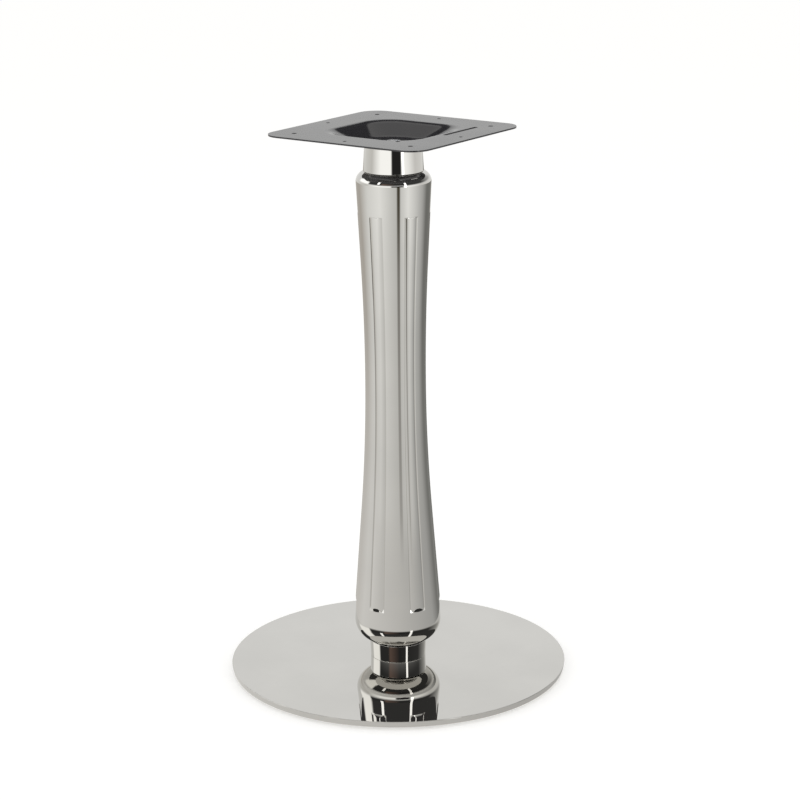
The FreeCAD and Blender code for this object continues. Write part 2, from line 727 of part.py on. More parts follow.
def check_document(parts):
    """Stops if any object failed to build or any piece has no sound shape."""
    for item in doc.Objects:
        if {"Invalid", "Error"} & set(item.State):
            raise RuntimeError(f"{item.Name} did not build: {item.State}")
    for part in parts:
        if part.Shape.isNull() or not part.Shape.isValid():
            raise RuntimeError(f"{part.Label} has no sound shape")


def write_parts(parts):
    os.makedirs("parts", exist_ok=True)
    for part in parts:
        part.Shape.exportStep(os.path.join("parts", f"{part.Label}.step"))
        print(part.Label, len(part.Shape.Solids), round(part.Shape.Volume / 1000, 2), "cm3")


all_parts = make_parts()
doc.recompute()
check_document(all_parts)
write_parts(all_parts)
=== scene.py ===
"""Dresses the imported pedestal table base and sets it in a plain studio.

The polished disc, neck, column and collar, the pressed top plate, the clamping hardware
and the glides are modelled here in metres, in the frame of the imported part.
"""

import math

import bmesh
import bpy
from bpy.props import FloatProperty, FloatVectorProperty, IntProperty, PointerProperty
from mathutils import Matrix, Vector


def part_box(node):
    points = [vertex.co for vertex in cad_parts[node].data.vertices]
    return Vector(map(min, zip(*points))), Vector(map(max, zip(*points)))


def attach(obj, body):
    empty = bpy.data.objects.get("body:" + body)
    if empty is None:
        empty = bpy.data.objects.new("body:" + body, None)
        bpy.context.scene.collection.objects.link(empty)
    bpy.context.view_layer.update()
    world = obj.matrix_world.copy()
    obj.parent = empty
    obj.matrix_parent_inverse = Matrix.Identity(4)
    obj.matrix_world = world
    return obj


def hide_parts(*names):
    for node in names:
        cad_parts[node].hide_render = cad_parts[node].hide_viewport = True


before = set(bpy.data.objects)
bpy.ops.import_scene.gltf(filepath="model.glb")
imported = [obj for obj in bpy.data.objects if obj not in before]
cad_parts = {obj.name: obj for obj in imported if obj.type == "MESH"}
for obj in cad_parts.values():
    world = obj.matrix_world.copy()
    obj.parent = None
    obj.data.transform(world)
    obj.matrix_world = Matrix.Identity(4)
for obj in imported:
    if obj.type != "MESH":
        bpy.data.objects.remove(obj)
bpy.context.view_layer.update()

bl_info = {
    "name": "Pedestal Table Base",
    "version": (1, 0, 0),
    "blender": (4, 5, 0),
    "location": "View3D > Sidebar > Pedestal",
    "description": "Models the looks of a polished, ribbed pedestal table base",
    "category": "Object",
}

MM = 0.001
# Distance at which corners are welded, and the turn below which flat faces are merged
WELD = 0.002 * MM
FLAT_LIMIT = math.radians(1.0)
BODY = "root"


def lowest(node):
    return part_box(node)[0]


def highest(node):
    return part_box(node)[1]


def length(label, text, default):
    """A length that a user may change, given here in millimetres."""
    return FloatProperty(name=label, description=text, default=default * MM, subtype="DISTANCE",
                         precision=5)


def angle(label, text, degrees):
    """An angle that a user may change."""
    return FloatProperty(name=label, description=text, default=math.radians(degrees), subtype="ANGLE")


def colour(label, text, default):
    """A colour that a user may change."""
    return FloatVectorProperty(name=label, description=text, default=default, size=3, min=0.0, max=1.0,
                               subtype="COLOR")


class DiscSizes(bpy.types.PropertyGroup):
    """Sizes of the floor disc and its glides."""
    edge_height: length("Edge height", "Top of the disc's edge over the floor", 12.0)
    seat_radius: length("Seat radius", "Flat seat of the neck on the disc", 40.0)
    top_rounding: length("Upper rounding", "Rounding of the disc's upper edge", 0.5)
    low_rounding: length("Lower rounding", "Rounding of the disc's lower edge", 1.0)
    hole_radius: length("Hole radius", "Clearance hole of the base screw", 6.5)
    head_radius: length("Head radius", "Countersink of the base screw", 12.0)
    head_height: length("Countersink height", "Depth of the countersink", 5.5)
    glide_radius: length("Glide radius", "Radius of a glide's sole", 14.0)
    glide_circle: length("Glide circle", "Distance of the glides from the axis", 195.0)
    glide_rounding: length("Glide rounding", "Rounding of a glide's lower edge", 1.0)


class RingSizes(bpy.types.PropertyGroup):
    """Sizes of the neck under the column and of the collar over it."""
    neck_foot: length("Neck foot", "Outer radius of the neck at the disc", 37.0)
    collar_top: length("Collar top", "Outer radius of the collar at the plate", 37.2)
    wall: length("Wall", "Wall of the neck and of the collar", 2.5)
    hole_radius: length("Hole radius", "Centring hole in the flanges", 22.0)
    edge: length("Edge", "Softened edges of the rings", 0.35)


class ColumnSizes(bpy.types.PropertyGroup):
    """Sizes of the ribbed column."""
    wall: length("Wall", "Thickness of the column's shell", 3.0)
    hole_radius: length("Hole radius", "Centring holes in the column's ends", 22.0)
    waist_radius: length("Waist radius", "Smallest outer radius", 39.2)
    waist_height: length("Waist height", "Height of the waist over the column's foot", 365.0)
    lower_flare: length("Lower flare", "Radius of the curve below the waist", 2375.0)
    lower_taper: angle("Lower taper", "Lean of the side below that curve", 4.3)
    lower_shoulder: length("Lower shoulder", "Rounding of the column's foot", 29.0)
    upper_flare: length("Upper flare", "Radius of the curve above the waist", 2950.0)
    upper_taper: angle("Upper taper", "Lean of the side above that curve", 3.0)
    upper_shoulder: length("Upper shoulder", "Rounding of the column's head", 14.0)
    rib_count: IntProperty(name="Ribs", description="Number of ribs", default=6, min=1)
    rib_angle: angle("Rib angle", "Width of a rib round the column", 22.0)
    rib_phase: angle("Rib phase", "Turn of the first rib from +X", 4.4)
    rib_foot: length("Rib foot", "Start of the ribs over the column's foot", 54.0)
    rib_head: length("Rib head", "End of the ribs below the column's head", 54.0)
    foot_crown: length("Foot crown", "Height of a rib over the side at its foot", 1.2)
    head_crown: length("Head crown", "Height of a rib over the side at its head", 0.4)
    crease: length("Crease", "Depth of the creases beside a rib", 1.0)
    foot_slope: length("Foot slope", "Height of the slope at a rib's lower end", 8.0)
    head_slope: length("Head slope", "Height of the slope at a rib's upper end", 2.5)


class PlateSizes(bpy.types.PropertyGroup):
    """Sizes of the pressed top plate."""
    corner: length("Corner", "Corner radius of the plate", 27.0)
    sheet: length("Sheet", "Sheet thickness", 2.0)
    dish_half: length("Dish half", "Half the side of the dish at the flange", 68.0)
    dish_corner: length("Dish corner", "Corner radius of the dish at the flange", 40.0)
    floor_half: length("Floor half", "Half the side of the dish's floor", 42.0)
    floor_corner: length("Floor corner", "Corner radius of the dish's floor", 34.0)
    bend: length("Bend", "Inner bend radius of the dish's edges", 18.0)
    rod_hole: length("Rod hole", "Radius of the hole for the tie rod", 6.5)
    screw_reach: length("Screw reach", "Corner screw holes from the middle, each way", 90.0)
    screw_hole: length("Screw hole", "Radius of the corner screw holes", 3.25)
    side_reach: length("Side reach", "Side screw holes from the middle", 104.0)
    side_hole: length("Side hole", "Radius of the side screw holes", 2.5)
    lip_hole: length("Lip hole", "Radius of the single hole beside the dish", 3.0)
    slot_length: length("Slot length", "Length of the slot beside the dish", 74.0)
    slot_width: length("Slot width", "Width of that slot", 6.0)
    lip_place: FloatVectorProperty(name="Lip hole place", description="Middle of the single hole",
                                   default=(-70.0 * MM, -57.0 * MM), size=2, precision=5)
    slot_place: FloatVectorProperty(name="Slot place", description="Middle of the slot",
                                    default=(37.0 * MM, -79.0 * MM), size=2, precision=5)


class HardwareSizes(bpy.types.PropertyGroup):
    """Sizes of the rod, nut and washer in the dish."""
    pitch: length("Pitch", "Pitch of the rod's thread", 1.75)
    thread_depth: length("Thread depth", "Depth of the rod's thread", 0.95)
    threaded: length("Threaded end", "Length of the thread at the rod's upper end", 24.0)
    rod_chamfer: length("Rod chamfer", "Chamfer on the ends of the rod", 1.0)
    edge: length("Edge", "Softened edges of nut and washer", 0.25)
    sunk: length("Sunk", "Depth of the nut's and the rod's upper ends below their packed height", 1.5)


class FinishColours(bpy.types.PropertyGroup):
    """Colours of the finishes."""
    steel: colour("Polished steel", "Mirror-polished steel", (0.70, 0.69, 0.665))
    coating: colour("Coated plate", "Dark semi-gloss coating of the top plate", (0.025, 0.024, 0.028))
    zinc: colour("Zinc", "Bright zinc of the hardware", (0.62, 0.62, 0.60))
    plastic: colour("Plastic", "Black plastic of glides and bushes", (0.03, 0.03, 0.032))


class StudioSettings(bpy.types.PropertyGroup):
    """Floor and camera."""
    floor: colour("Floor", "Colour of the floor", (0.86, 0.855, 0.84))
    floor_size: length("Floor size", "Side of the floor", 24000.0)
    azimuth: angle("Camera azimuth", "Turn of the camera round the base", -54.62)
    pitch: angle("Camera pitch", "Downward look of the camera", 15.712)
    roll: angle("Camera roll", "Roll of the camera", -0.544)
    distance: length("Camera distance", "Level distance of the camera from the axis", 3064.1)
    height: length("Camera height", "Height of the camera over the floor", 1235.2)
    offset: length("Camera offset", "Sideways offset of the camera", 5.56)
    lens: FloatProperty(name="Lens", description="Focal length on a 36 mm sensor", default=108.70,
                        subtype="DISTANCE_CAMERA")


# Modelling helpers


def deselect_all():
    bpy.ops.object.select_all(action="DESELECT")


def edit_mode():
    bpy.ops.object.mode_set(mode="EDIT")


def object_mode():
    bpy.ops.object.mode_set(mode="OBJECT")


def make_active(piece):
    deselect_all()
    piece.select_set(True)
    bpy.context.view_layer.objects.active = piece


def spaced(start, finish, steps):
    """Numbers from start to finish in equal steps, both ends included."""
    return [start + (finish - start) * step / steps for step in range(steps + 1)]


def arc(centre, radius, start, finish, steps):
    """Points (radius, height) on an arc about a centre, between two angles."""
    return [(centre[0] + radius * math.cos(turn), centre[1] + radius * math.sin(turn))
            for turn in spaced(start, finish, steps)]


def close_skin():
    """Welds the seam of the mesh in edit mode and turns its faces outwards."""
    bpy.ops.mesh.select_all(action="SELECT")
    bpy.ops.mesh.remove_doubles(threshold=WELD)
    bpy.ops.mesh.normals_make_consistent(inside=False)
    bpy.ops.mesh.select_all(action="DESELECT")


def added(name, add, **settings):
    """A new object, named and active."""
    deselect_all()
    add(**settings)
    bpy.context.active_object.name = name
    return bpy.context.active_object


TURN_STEPS = 256


def turn(name, profile, steps=TURN_STEPS):
    """Piece turned about the column's axis: a profile of (radius, height) points is spun round."""
    piece = added(name, bpy.ops.mesh.primitive_plane_add, size=1.0)
    edit_mode()
    bpy.ops.mesh.select_all(action="SELECT")
    bpy.ops.mesh.merge(type="CENTER")
    points = [Vector((radius, 0.0, height)) for radius, height in profile]
    bpy.ops.transform.translate(value=points[0])
    for point, following in zip(points, points[1:]):
        bpy.ops.mesh.extrude_region_move(TRANSFORM_OT_translate={"value": following - point})
    bpy.ops.mesh.select_all(action="SELECT")
    bpy.ops.mesh.spin(steps=steps, angle=math.tau, center=(0.0, 0.0, 0.0), axis=(0.0, 0.0, 1.0))
    close_skin()
    object_mode()
    return piece


def place_ring(piece, ring):
    """Moves the selected ring of the mesh in edit mode to its points."""
    mesh = bmesh.from_edit_mesh(piece.data)
    order = mesh.verts.layers.int["order"]
    for corner in mesh.verts:
        if corner.select:
            corner.co = ring[corner[order]]
    bmesh.update_edit_mesh(piece.data)


def draw_out(name, rings, ends=False):
    """Skin extruded from ring to ring; every ring has as many points as the first."""
    piece = added(name, bpy.ops.mesh.primitive_circle_add, vertices=len(rings[0]), radius=1.0)
    edit_mode()
    bpy.ops.mesh.select_all(action="SELECT")
    mesh = bmesh.from_edit_mesh(piece.data)
    order = mesh.verts.layers.int.new("order")
    corners = sorted(mesh.verts, key=lambda corner: math.atan2(corner.co.y, corner.co.x) % math.tau)
    for number, corner in enumerate(corners):
        corner[order] = number
    place_ring(piece, rings[0])
    if ends:
        bpy.ops.mesh.edge_face_add()
    for ring in rings[1:]:
        bpy.ops.mesh.extrude_region_move()
        place_ring(piece, ring)
    close_skin()
    object_mode()
    piece.data.attributes.remove(piece.data.attributes["order"])
    return piece


def apply_modifier(piece, kind, **settings):
    """Adds a modifier with its settings and applies it."""
    make_active(piece)
    modifier = piece.modifiers.new(kind.title(), kind)
    for name, setting in settings.items():
        setattr(modifier, name, setting)
    bpy.ops.object.modifier_apply(modifier=modifier.name)


def soften_edges(piece, width, limit=40.0):
    apply_modifier(piece, "BEVEL", width=width, segments=2, limit_method="ANGLE",
                   angle_limit=math.radians(limit), harden_normals=False)


def cut_with(piece, cutter):
    """Takes a cutter's volume out of a piece and deletes the cutter."""
    apply_modifier(piece, "BOOLEAN", operation="DIFFERENCE", object=cutter, solver="EXACT")
    bpy.data.objects.remove(cutter)


def shift(piece, offset, chosen):
    """Moves the corners of a piece whose place passes a test."""
    make_active(piece)
    edit_mode()
    bpy.ops.mesh.select_all(action="DESELECT")
    mesh = bmesh.from_edit_mesh(piece.data)
    mesh.select_mode = {"VERT"}
    for corner in mesh.verts:
        corner.select_set(chosen(corner.co))
    mesh.select_flush_mode()
    bmesh.update_edit_mesh(piece.data)
    bpy.ops.transform.translate(value=offset)
    object_mode()


HOLE_STEPS = 48


def hole_cutter(x, y, low, high, radius):
    cutter = added("cutter", bpy.ops.mesh.primitive_cylinder_add, vertices=HOLE_STEPS, radius=radius,
                   depth=high - low, location=(x, y, (low + high) / 2))
    bpy.ops.object.transform_apply(location=True, rotation=False, scale=False)
    return cutter


def merged_copy(node, name):
    """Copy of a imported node's mesh with its loose triangles merged."""
    piece = bpy.data.objects.new(name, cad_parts[node].data.copy())
    bpy.context.scene.collection.objects.link(piece)
    make_active(piece)
    edit_mode()
    bpy.ops.mesh.select_all(action="SELECT")
    bpy.ops.mesh.remove_doubles(threshold=WELD)
    bpy.ops.mesh.dissolve_limited(angle_limit=FLAT_LIMIT)
    bpy.ops.mesh.select_all(action="DESELECT")
    object_mode()
    return piece


SMOOTH_LIMIT = 30.0


def hand_over(piece, node, slot, smooth=SMOOTH_LIMIT):
    """Gives a piece its shading and finish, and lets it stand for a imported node."""
    if not piece.data.polygons:
        raise RuntimeError(f"{piece.name} has no faces")
    make_active(piece)
    bpy.ops.object.shade_smooth_by_angle(angle=math.radians(smooth))
    piece.data.materials.clear()
    piece.data.materials.append(finish_of(slot))
    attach(piece, BODY)
    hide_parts(node)


# Finishes


class Shading:
    """Nodes of a material, or of the world, under way."""

    def __init__(self, owner, keep=False):
        owner.use_nodes = True
        self.tree = owner.node_tree
        if not keep:
            self.tree.nodes.clear()

    def give(self, node, name, source):
        """Sets an input of a node to a value or to the output of another node."""
        if isinstance(source, bpy.types.NodeSocket):
            self.tree.links.new(source, node.inputs[name])
        else:
            node.inputs[name].default_value = source

    def add(self, kind, inputs=None, **traits):
        """A new node with its traits and inputs."""
        node = self.tree.nodes.new(f"ShaderNode{kind}")
        for name, trait in traits.items():
            setattr(node, name, trait)
        for name, source in (inputs or {}).items():
            self.give(node, name, source)
        return node

    def ramp(self, factor, stops):
        """Colours along a ramp of (position, colour) stops."""
        node = self.add("ValToRGB", {"Fac": factor})
        elements = node.color_ramp.elements
        for element, (position, tone) in zip(elements, (stops[0], stops[-1])):
            element.position = position
            element.color = (*tone, 1.0)
        for position, tone in stops[1:-1]:
            elements.new(position).color = (*tone, 1.0)
        return node.outputs["Color"]


# Middle of a noise pattern, which is where most of its values lie
NOISE_MIDDLE = (0.3, 0.7)


class Finish(Shading):
    """A material under way, with its shader and its Object coordinates."""

    def __init__(self, name):
        super().__init__(bpy.data.materials.new(name), keep=True)
        self.shader = self.tree.nodes["Principled BSDF"]
        self.place = self.add("TexCoord").outputs["Object"]

    def feed(self, name, source):
        self.give(self.shader, name, source)

    def noise(self, scale, detail, stretch=(1.0, 1.0, 1.0)):
        """Noise over the piece; stretch scales it along the axes."""
        mapping = self.add("Mapping", {"Vector": self.place, "Scale": stretch})
        inputs = {"Vector": mapping.outputs["Vector"], "Scale": scale, "Detail": detail}
        return self.add("TexNoise", inputs).outputs["Fac"]

    def tint(self, pattern, low, high, span=NOISE_MIDDLE):
        """Lets the base colour follow a pattern from one tone to another."""
        self.feed("Base Color", self.ramp(pattern, [(span[0], low), (span[1], high)]))

    def roughen(self, pattern, low, high):
        """Lets the roughness follow a pattern."""
        inputs = {"Value": pattern, "From Min": NOISE_MIDDLE[0], "From Max": NOISE_MIDDLE[1],
                  "To Min": low, "To Max": high}
        self.feed("Roughness", self.add("MapRange", inputs).outputs["Result"])

    def bump(self, height, strength, distance):
        inputs = {"Height": height, "Strength": strength, "Distance": distance}
        self.feed("Normal", self.add("Bump", inputs).outputs["Normal"])


def scaled(tone, share):
    return tuple(min(1.0, part * share) for part in tone)


def polished_steel_finish(finish, tone):
    finish.feed("Metallic", 1.0)
    haze = finish.noise(scale=9.0, detail=4.0)
    finish.tint(haze, scaled(tone, 0.97), scaled(tone, 1.02), span=(0.35, 0.65))
    wipe = finish.noise(scale=26.0, detail=3.0, stretch=(1.0, 1.0, 0.35))
    finish.roughen(wipe, low=0.006, high=0.02)


def coated_plate_finish(finish, tone):
    finish.feed("IOR", 1.55)
    blotches = finish.noise(scale=14.0, detail=4.0)
    finish.tint(blotches, scaled(tone, 0.9), scaled(tone, 1.1))
    finish.roughen(blotches, low=0.12, high=0.18)
    finish.bump(finish.noise(scale=700.0, detail=2.0), strength=0.05, distance=0.2 * MM)


def zinc_finish(finish, tone):
    finish.feed("Metallic", 1.0)
    clouds = finish.noise(scale=120.0, detail=4.0)
    cool = (tone[0] * 0.93, tone[1] * 0.97, min(1.0, tone[2] * 1.08))
    finish.tint(clouds, cool, scaled(tone, 1.04))
    finish.roughen(clouds, low=0.22, high=0.36)
    finish.bump(finish.noise(scale=1400.0, detail=2.0), strength=0.1, distance=0.1 * MM)


def black_plastic_finish(finish, tone):
    grain = finish.noise(scale=1100.0, detail=2.0)
    finish.tint(grain, scaled(tone, 0.8), scaled(tone, 1.3))
    finish.roughen(grain, low=0.45, high=0.6)
    finish.bump(grain, strength=0.25, distance=0.1 * MM)


FINISHES = {
    "polished_steel": (polished_steel_finish, "steel", "mirror_polish"),
    "coated_plate": (coated_plate_finish, "coating", "dark_semi_gloss_coating"),
    "zinc_steel": (zinc_finish, "zinc", "bright_zinc"),
    "black_plastic": (black_plastic_finish, "plastic", "moulded_black_plastic"),
}


def finish_of(slot):
    """The material of a slot, made when it is first asked for."""
    dress, tone, name = FINISHES[slot]
    if name not in bpy.data.materials:
        dress(Finish(name), tuple(getattr(bpy.context.scene.pedestal_colours, tone)))
    return bpy.data.materials[name]


# Floor disc and glides


# Steps along the dome, its upper and its lower edge, and the hold of the dome beside its upper edge
DOME_STEPS = 56
UPPER_EDGE_STEPS = 14
LOWER_EDGE_STEPS = 6
DOME_HOLD = 0.4 * MM
# Groove in a glide's sole: its depth, and its radius at the bottom and at the sole
GROOVE_DEPTH = 0.6 * MM
GROOVE_RADII = (6.0 * MM, 6.6 * MM)
GLIDE_STEPS = 64
GLIDE_EDGE_STEPS = 8


def disc_profile(sizes):
    """Half section of the disc: bored and countersunk, domed, with a rounded edge."""
    low, high = lowest("base_disc").z, highest("base_disc").z
    radius = highest("base_disc").x
    seat = sizes.seat_radius
    rise = high - sizes.edge_height
    drop = (radius ** 2 - seat ** 2 + rise ** 2) / (2 * rise)
    dome = math.hypot(drop, seat)
    middle = high - drop
    # The edge's rounding touches the dome from inside
    reach = radius - sizes.top_rounding
    centre = (reach, middle + math.sqrt((dome - sizes.top_rounding) ** 2 - reach ** 2))
    meet = math.atan2(centre[1] - middle, reach)
    start = math.atan2(drop, seat)
    hold = DOME_HOLD / dome
    corner = (radius - sizes.low_rounding, low + sizes.low_rounding)
    profile = [(sizes.hole_radius, low + sizes.head_height), (sizes.hole_radius, high)]
    profile += arc((0.0, middle), dome, start, meet + hold, DOME_STEPS)
    profile += arc(centre, sizes.top_rounding, meet, 0.0, UPPER_EDGE_STEPS)
    profile += arc(corner, sizes.low_rounding, 0.0, -math.pi / 2, LOWER_EDGE_STEPS)
    profile += [(radius - 4 * sizes.low_rounding, low), (sizes.head_radius, low)]
    return profile + [profile[0]]


def glide_profile(sizes):
    """Half section of a glide about its own axis, with a grooved sole."""
    top = lowest("base_disc").z
    radius, rounding = sizes.glide_radius, sizes.glide_rounding
    sole = [(0.0, GROOVE_DEPTH), (GROOVE_RADII[0], GROOVE_DEPTH), (GROOVE_RADII[1], 0.0)]
    sole.append((radius - 2 * rounding, 0.0))
    edge = arc((radius - rounding, rounding), rounding, -math.pi / 2, 0.0, GLIDE_EDGE_STEPS)
    return sole + edge + [(radius, top), (0.0, top)]


class PEDESTAL_OT_base_disc(bpy.types.Operator):
    """Turn the domed, mirror-polished floor disc"""
    bl_idname = "pedestal.base_disc"
    bl_label = "Base Disc"

    def execute(self, context):
        disc = turn("base_disc_polished", disc_profile(context.scene.pedestal_disc))
        hand_over(disc, "base_disc", "polished_steel")
        return {"FINISHED"}


class PEDESTAL_OT_glides(bpy.types.Operator):
    """Mould the four glides under the disc"""
    bl_idname = "pedestal.glides"
    bl_label = "Glides"

    def execute(self, context):
        sizes = context.scene.pedestal_disc
        reach = sizes.glide_circle * math.sqrt(0.5)
        glides = []
        for side, end in ((1, 1), (-1, 1), (-1, -1), (1, -1)):
            glide = turn("glides_moulded", glide_profile(sizes), GLIDE_STEPS)
            shift(glide, (side * reach, end * reach, 0.0), lambda place: True)
            glides.append(glide)
        make_active(glides[0])
        for glide in glides:
            glide.select_set(True)
        bpy.ops.object.join()
        hand_over(glides[0], "glide_feet", "black_plastic")
        return {"FINISHED"}


# Neck and collar


SOFT_EDGE_STEPS = 4


def softened(profile, edge):
    """Closed outline of (radius, height) points with a small rounding, held in place, at each corner."""
    rounded = []
    count = len(profile)
    for index, corner in enumerate(profile):
        point = Vector(corner)
        back = (Vector(profile[index - 1]) - point).normalized()
        onward = (Vector(profile[(index + 1) % count]) - point).normalized()
        start = point + back * edge
        finish = point + onward * edge
        rounded.append(tuple(start + back * edge / 2))
        for share in spaced(0.0, 1.0, SOFT_EDGE_STEPS):
            bend = start.lerp(point, share).lerp(point.lerp(finish, share), share)
            rounded.append((bend.x, bend.y))
        rounded.append(tuple(finish + onward * edge / 2))
    return rounded + [rounded[0]]


def ring_profile(sizes, node, foot, top, flange_low):
    """Half section of a tapered ring with one inward flange."""
    low, high = lowest(node).z, highest(node).z
    wall, hole = sizes.wall, sizes.hole_radius
    if flange_low:
        inside = [(top - wall, high), (foot - wall, low + wall), (hole, low + wall), (hole, low)]
    else:
        inside = [(hole, high), (hole, high - wall), (top - wall, high - wall), (foot - wall, low)]
    return softened([(foot, low), (top, high)] + inside, sizes.edge)


class PEDESTAL_OT_rings(bpy.types.Operator):
    """Turn the polished neck and collar"""
    bl_idname = "pedestal.rings"
    bl_label = "Neck and Collar"

    def execute(self, context):
        sizes = context.scene.pedestal_rings
        neck = ring_profile(sizes, "lower_neck", sizes.neck_foot, highest("lower_neck").x, False)
        collar = ring_profile(sizes, "upper_collar", highest("upper_collar").x, sizes.collar_top, True)
        hand_over(turn("neck_polished", neck), "lower_neck", "polished_steel")
        hand_over(turn("collar_polished", collar), "upper_collar", "polished_steel")
        return {"FINISHED"}


# Column


class ColumnSide:
    """The column's side: two long arcs from the waist, straight tapers, rounded shoulders, ribs."""

    def __init__(self, sizes):
        self.sizes = sizes
        self.low = lowest("column").z
        self.high = highest("column").z
        self.waist = self.low + sizes.waist_height
        self.low_bend = self.waist - sizes.lower_flare * math.sin(sizes.lower_taper)
        self.low_radius = sizes.waist_radius + sizes.lower_flare * (1 - math.cos(sizes.lower_taper))
        self.high_bend = self.waist + sizes.upper_flare * math.sin(sizes.upper_taper)
        self.high_radius = sizes.waist_radius + sizes.upper_flare * (1 - math.cos(sizes.upper_taper))
        self.foot = self.low + sizes.rib_foot
        self.head = self.high - sizes.rib_head
        low_height = self.low + sizes.lower_shoulder
        high_height = self.high - sizes.upper_shoulder
        self.low_centre = (self.low_radius - (sizes.lower_shoulder + (low_height - self.low_bend)
                           * math.sin(sizes.lower_taper)) / math.cos(sizes.lower_taper), low_height)
        self.high_centre = (self.high_radius - (sizes.upper_shoulder - (high_height - self.high_bend)
                            * math.sin(sizes.upper_taper)) / math.cos(sizes.upper_taper), high_height)

    def radius(self, height, inset=0.0):
        """Outer radius at a height between the shoulders, less a wall's inset."""
        sizes = self.sizes
        if height < self.low_bend:
            return (self.low_radius + (self.low_bend - height) * math.tan(sizes.lower_taper)
                    - inset / math.cos(sizes.lower_taper))
        if height > self.high_bend:
            return (self.high_radius + (height - self.high_bend) * math.tan(sizes.upper_taper)
                    - inset / math.cos(sizes.upper_taper))
        flare = sizes.lower_flare if height < self.waist else sizes.upper_flare
        rise = height - self.waist
        return sizes.waist_radius + flare - math.sqrt((flare + inset) ** 2 - rise ** 2)

    def raised(self, height, turn):
        """Radius at a turn from a rib's middle: a bowed rib between two creases, sloped at its ends."""
        sizes = self.sizes
        radius = self.radius(height)
        into = min(1.0, (height - self.foot) / sizes.foot_slope, (self.head - height) / sizes.head_slope)
        if into <= 0.0:
            return radius
        up = (height - self.foot) / (self.head - self.foot)
        crown = sizes.foot_crown + (sizes.head_crown - sizes.foot_crown) * up
        half = sizes.rib_angle / 2
        width = (radius - sizes.crease) * math.sin(half)
        rise = radius + crown - (radius - sizes.crease) * math.cos(half)
        bow = (width ** 2 + rise ** 2) / (2 * rise)
        middle = radius + crown - bow
        across = min(bow, middle * math.sin(abs(turn)))
        outside = middle * math.cos(turn) + math.sqrt(bow ** 2 - across ** 2) - radius
        wall = smooth_least(0.0, (abs(turn) - half) * radius * CREASE_STEEPNESS - sizes.crease)
        share = math.sin(into * math.pi / 2)
        tip = crown * share - TIP_BOW * radius * turn ** 2 * (1.0 - into)
        section = -smooth_least(-smooth_least(outside, tip), -wall)
        return radius + max(-sizes.crease * share, section)

    def ring(self, height, radius=None):
        """Points round the column at a height; a given radius is kept plain."""
        sizes = self.sizes
        sector = math.tau / sizes.rib_count
        points = []
        for rib in range(sizes.rib_count):
            for turn in rib_turns(sizes.rib_angle / 2, sector / 2):
                reach = self.raised(height, turn) if radius is None else radius
                around = sizes.rib_phase + rib * sector + turn
                points.append(Vector((reach * math.cos(around), reach * math.sin(around), height)))
        return points


# Rise of a crease's outer wall per length round the column, and the softness of all rib edges
CREASE_STEEPNESS = 1.3
RIB_SOFTNESS = 0.12 * MM
# Fall of a rib's end to its sides, as a share of the radius
TIP_BOW = 0.3
# Rows of points across a rib, across each of its creases and across the land between two ribs
RIB_ROWS = 28
CREASE_ROWS = 12
LAND_ROWS = 8
CREASE_BAND = math.radians(1.6)
# Rings along the side: below the ribs, at their feet, along them, at their heads and above them
SIDE_RINGS = (5, 48, 44, 30, 8)
RIB_END_MARGIN = 3.0 * MM
# Rings round the outer and the inner shoulders, at the foot and at the head, and along the inside
FOOT_RINGS = (26, 8)
HEAD_RINGS = (18, 6)
INSIDE_RINGS = 30
COLUMN_SMOOTH_LIMIT = 40.0


def smooth_least(first, second):
    """The smaller of two lengths, with a soft change from one to the other."""
    near = max(RIB_SOFTNESS - abs(first - second), 0.0) / RIB_SOFTNESS
    return min(first, second) - near ** 2 * RIB_SOFTNESS / 4


def rib_turns(half_rib, half_sector):
    """Turns from a rib's middle at which points lie, close together along the rib's creases."""
    inner = half_rib - CREASE_BAND
    outer = half_rib + CREASE_BAND
    side = spaced(inner, outer, CREASE_ROWS)[1:] + spaced(outer, half_sector, LAND_ROWS)[1:]
    return [-turn for turn in reversed(side[:-1])] + spaced(-inner, inner, RIB_ROWS) + side


def column_heights(side):
    """Heights of the rings along the outer side, close together at the ribs' ends."""
    sizes = side.sizes
    limits = [
        side.low_centre[1] + sizes.lower_shoulder * math.sin(sizes.lower_taper),
        side.foot - RIB_END_MARGIN,
        side.foot + sizes.foot_slope + RIB_END_MARGIN,
        side.head - sizes.head_slope - RIB_END_MARGIN,
        side.head + RIB_END_MARGIN,
        side.high_centre[1] - sizes.upper_shoulder * math.sin(sizes.upper_taper),
    ]
    heights = limits[:1]
    for low, high, rings in zip(limits, limits[1:], SIDE_RINGS):
        heights += spaced(low, high, rings)[1:]
    return heights


def column_rings(side):
    """Rings of the closed shell: up the outside, in at the head, down the inside, out at the foot."""
    sizes = side.sizes
    wall, hole = sizes.wall, sizes.hole_radius

    def foot_arc(inset, steps):
        return arc(side.low_centre, sizes.lower_shoulder - inset, -math.pi / 2, sizes.lower_taper, steps)

    def head_arc(inset, steps):
        return arc(side.high_centre, sizes.upper_shoulder - inset, -sizes.upper_taper, math.pi / 2, steps)

    outside = [(None, height) for height in column_heights(side)]
    inside = [(side.radius(height, wall), height) for height in spaced(side.head, side.foot, INSIDE_RINGS)]
    places = [(hole, side.low)]
    places += foot_arc(0.0, FOOT_RINGS[0])[:-1] + outside + head_arc(0.0, HEAD_RINGS[0])[1:]
    places += [(hole, side.high), (hole, side.high - wall)]
    places += head_arc(wall, HEAD_RINGS[1])[::-1] + inside + foot_arc(wall, FOOT_RINGS[1])[::-1]
    places += [(hole, side.low + wall), (hole, side.low)]
    return [side.ring(height, radius) for radius, height in places]


